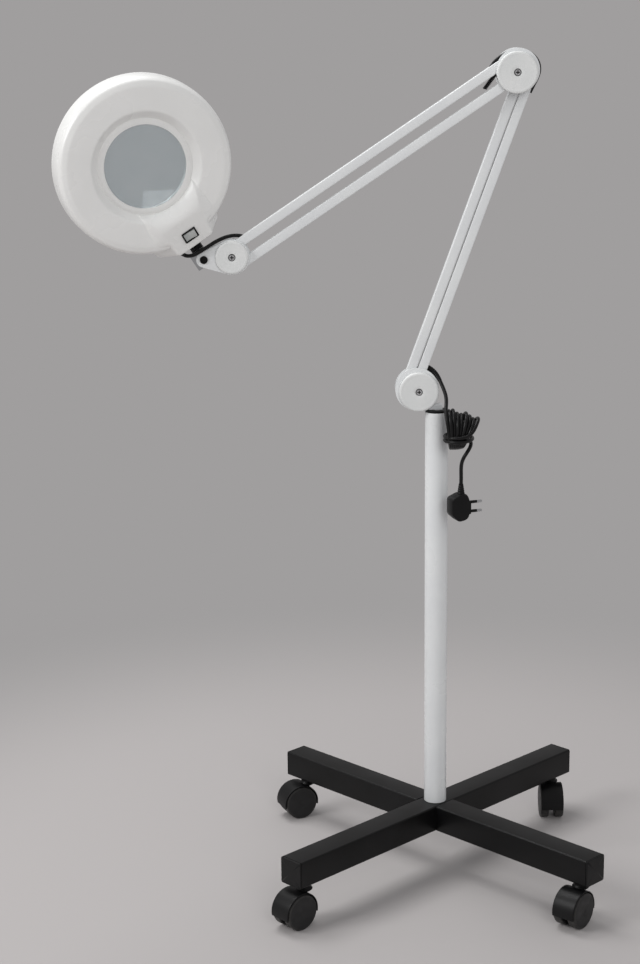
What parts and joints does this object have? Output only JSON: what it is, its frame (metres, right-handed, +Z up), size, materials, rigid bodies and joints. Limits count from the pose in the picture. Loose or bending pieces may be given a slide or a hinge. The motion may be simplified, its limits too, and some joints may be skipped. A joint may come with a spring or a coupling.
{
  "type": "magnifying lamp",
  "caption": "Magnifying floor lamp: round lens and ring lamp in a white head, on spring-balanced parallel arms over a column with a rolling cross base.",
  "frame": {"origin": "centre of the lamp's box at floor level, measured without the mains lead", "axes": "+Z up; +X from the magnifier head towards the elbow's side, so the arms lie in the XZ plane; +Y away from the side that the user looks into"},
  "size_m": [0.7308, 0.4564, 1.1764],
  "materials": {
    "black_paint": "satin",
    "black_plastic": "matte",
    "tread": "satin",
    "silver_paint": "satin",
    "white_plastic": "satin",
    "grey_cover": "satin",
    "steel": "brushed",
    "glass": "polished",
    "lamp_white": "satin",
    "rocker_grey": "gloss",
    "cable_black": "satin"
  },
  "bodies": {
    "base": {"leg_long": "black_paint", "leg_left": "black_paint", "leg_right": "black_paint", "leg_cap_rear_right": "black_plastic", "leg_cap_rear_left": "black_plastic", "leg_cap_front_left": "black_plastic", "leg_cap_front_right": "black_plastic", "column_tube": "silver_paint", "column_plug": "black_plastic"},
    "shoulder": {"shoulder_bracket": "silver_paint", "shoulder_pin_plate": "silver_paint", "shoulder_cover_front": "grey_cover", "shoulder_cover_rear": "grey_cover", "shoulder_cover_screw": "steel", "cord_lead": "cable_black", "cord_hank": "cable_black", "cord_tail": "cable_black", "plug_body": "black_plastic", "plug_pins": "steel"},
    "lower_arm": {"lower_tube_right": "silver_paint"},
    "lower_link": {"lower_tube_left": "silver_paint", "lower_spring": "steel"},
    "elbow": {"elbow_bracket": "silver_paint", "elbow_pin_plate_rear": "silver_paint", "elbow_pin_plate_front": "silver_paint", "elbow_cover_front": "grey_cover", "elbow_cover_rear": "grey_cover", "elbow_cover_screw": "steel", "elbow_cable": "cable_black"},
    "upper_arm": {"upper_tube_top": "silver_paint"},
    "upper_link": {"upper_tube_bottom": "silver_paint", "upper_spring": "steel"},
    "head_joint": {"head_bracket": "silver_paint", "head_pin_plate": "silver_paint", "head_joint_cover_front": "grey_cover", "head_joint_cover_rear": "grey_cover", "head_joint_cover_screw": "steel", "tilt_bolt": "black_paint", "head_cable": "cable_black"},
    "yoke": {"head_yoke": "steel"},
    "head": {"neck_ferrule": "black_plastic", "head_shell": "white_plastic", "neck_cover": "white_plastic", "lens": "glass", "lens_ring": "white_plastic", "lamp_tube": "lamp_white", "switch_frame": "black_plastic"},
    "rocker": {"switch_rocker": "rocker_grey"},
    "caster_rear_right": {"caster_hood_rear_right": "black_plastic"},
    "wheel_left_rear_right": {"wheel_left_rear_right": "tread"},
    "wheel_right_rear_right": {"wheel_right_rear_right": "tread"},
    "caster_rear_left": {"caster_hood_rear_left": "black_plastic"},
    "wheel_left_rear_left": {"wheel_left_rear_left": "tread"},
    "wheel_right_rear_left": {"wheel_right_rear_left": "tread"},
    "caster_front_left": {"caster_hood_front_left": "black_plastic"},
    "wheel_left_front_left": {"wheel_left_front_left": "tread"},
    "wheel_right_front_left": {"wheel_right_front_left": "tread"},
    "caster_front_right": {"caster_hood_front_right": "black_plastic"},
    "wheel_left_front_right": {"wheel_left_front_right": "tread"},
    "wheel_right_front_right": {"wheel_right_front_right": "tread"}
  },
  "joints": [
    {"name": "column_swivel", "type": "hinge", "parent": "base", "child": "shoulder", "pos_m": [0.14548, 0.00826, 0.675], "axis": [0, 0, 1], "range_deg": [-170, 170]},
    {"name": "lower_arm_lift", "type": "hinge", "parent": "shoulder", "child": "lower_arm", "pos_m": [0.10949, 0.00826, 0.6921], "axis": [0, -1, 0], "range_deg": [-30, 3], "deforming": ["cord_lead"]},
    {"name": "lower_link_follow", "type": "hinge", "parent": "shoulder", "child": "lower_link", "pos_m": [0.10387, 0.00826, 0.7185], "axis": [0, -1, 0], "range_deg": [-30, 3]},
    {"name": "elbow_level", "type": "hinge", "parent": "lower_arm", "child": "elbow", "pos_m": [0.2651, 0.00826, 1.11966], "axis": [0, -1, 0], "range_deg": [-3, 30], "deforming": ["elbow_cable"]},
    {"name": "upper_arm_lift", "type": "hinge", "parent": "elbow", "child": "upper_arm", "pos_m": [0.23499, -0.00744, 1.14996], "axis": [0, -1, 0], "range_deg": [-73.5, 26.5]},
    {"name": "upper_link_follow", "type": "hinge", "parent": "elbow", "child": "upper_link", "pos_m": [0.24061, -0.00744, 1.12356], "axis": [0, -1, 0], "range_deg": [-73.5, 26.5]},
    {"name": "head_level", "type": "hinge", "parent": "upper_arm", "child": "head_joint", "pos_m": [-0.13192, -0.00744, 0.90711], "axis": [0, -1, 0], "range_deg": [-26.5, 73.5], "deforming": ["head_cable"]},
    {"name": "head_tilt", "type": "hinge", "parent": "head_joint", "child": "yoke", "pos_m": [-0.17081, -0.00744, 0.89151], "axis": [0, -1, 0], "range_deg": [-25, 75]},
    {"name": "head_swivel", "type": "hinge", "parent": "yoke", "child": "head", "pos_m": [-0.17081, -0.00744, 0.89151], "axis": [-0.5446, 0, 0.8387], "range_deg": [-90, 90]},
    {"name": "switch_rock", "type": "hinge", "parent": "head", "child": "rocker", "pos_m": [-0.18702, -0.03542, 0.92738], "axis": [0.4128, 0.4294, -0.8032], "range_deg": [0, 16]},
    {"name": "caster_swivel_rear_right", "type": "hinge", "parent": "base", "child": "caster_rear_right", "pos_m": [0.33428, 0.19706, 0.062], "axis": [0, 0, 1], "continuous": true},
    {"name": "wheel_spin_left_rear_right", "type": "hinge", "parent": "caster_rear_right", "child": "wheel_left_rear_right", "pos_m": [0.33888, 0.18006, 0.025], "axis": [1, 0, 0], "continuous": true},
    {"name": "wheel_spin_right_rear_right", "type": "hinge", "parent": "caster_rear_right", "child": "wheel_right_rear_right", "pos_m": [0.32968, 0.18006, 0.025], "axis": [1, 0, 0], "continuous": true},
    {"name": "caster_swivel_rear_left", "type": "hinge", "parent": "base", "child": "caster_rear_left", "pos_m": [-0.04332, 0.19706, 0.062], "axis": [0, 0, 1], "continuous": true},
    {"name": "wheel_spin_left_rear_left", "type": "hinge", "parent": "caster_rear_left", "child": "wheel_left_rear_left", "pos_m": [-0.05678, 0.1857, 0.025], "axis": [0.4226, -0.9063, 0], "continuous": true},
    {"name": "wheel_spin_right_rear_left", "type": "hinge", "parent": "caster_rear_left", "child": "wheel_right_rear_left", "pos_m": [-0.06067, 0.19404, 0.025], "axis": [0.4226, -0.9063, 0], "continuous": true},
    {"name": "caster_swivel_front_left", "type": "hinge", "parent": "base", "child": "caster_front_left", "pos_m": [-0.04332, -0.18054, 0.062], "axis": [0, 0, 1], "continuous": true},
    {"name": "wheel_spin_left_front_left", "type": "hinge", "parent": "caster_front_left", "child": "wheel_left_front_left", "pos_m": [-0.05287, -0.19533, 0.025], "axis": [0.6691, -0.7431, 0], "continuous": true},
    {"name": "wheel_spin_right_front_left", "type": "hinge", "parent": "caster_front_left", "child": "wheel_right_front_left", "pos_m": [-0.05903, -0.18849, 0.025], "axis": [0.6691, -0.7431, 0], "continuous": true},
    {"name": "caster_swivel_front_right", "type": "hinge", "parent": "base", "child": "caster_front_right", "pos_m": [0.33428, -0.18054, 0.062], "axis": [0, 0, 1], "continuous": true},
    {"name": "wheel_spin_left_front_right", "type": "hinge", "parent": "caster_front_right", "child": "wheel_left_front_right", "pos_m": [0.32715, -0.19664, 0.025], "axis": [0.7771, -0.6293, 0], "continuous": true},
    {"name": "wheel_spin_right_front_right", "type": "hinge", "parent": "caster_front_right", "child": "wheel_right_front_right", "pos_m": [0.32, -0.19085, 0.025], "axis": [0.7771, -0.6293, 0], "continuous": true}
  ],
  "couplings": [
    {"joint": "lower_link_follow", "follows": "lower_arm_lift", "ratio": 1},
    {"joint": "elbow_level", "follows": "lower_arm_lift", "ratio": -1},
    {"joint": "upper_link_follow", "follows": "upper_arm_lift", "ratio": 1},
    {"joint": "head_level", "follows": "upper_arm_lift", "ratio": -1}
  ]
}
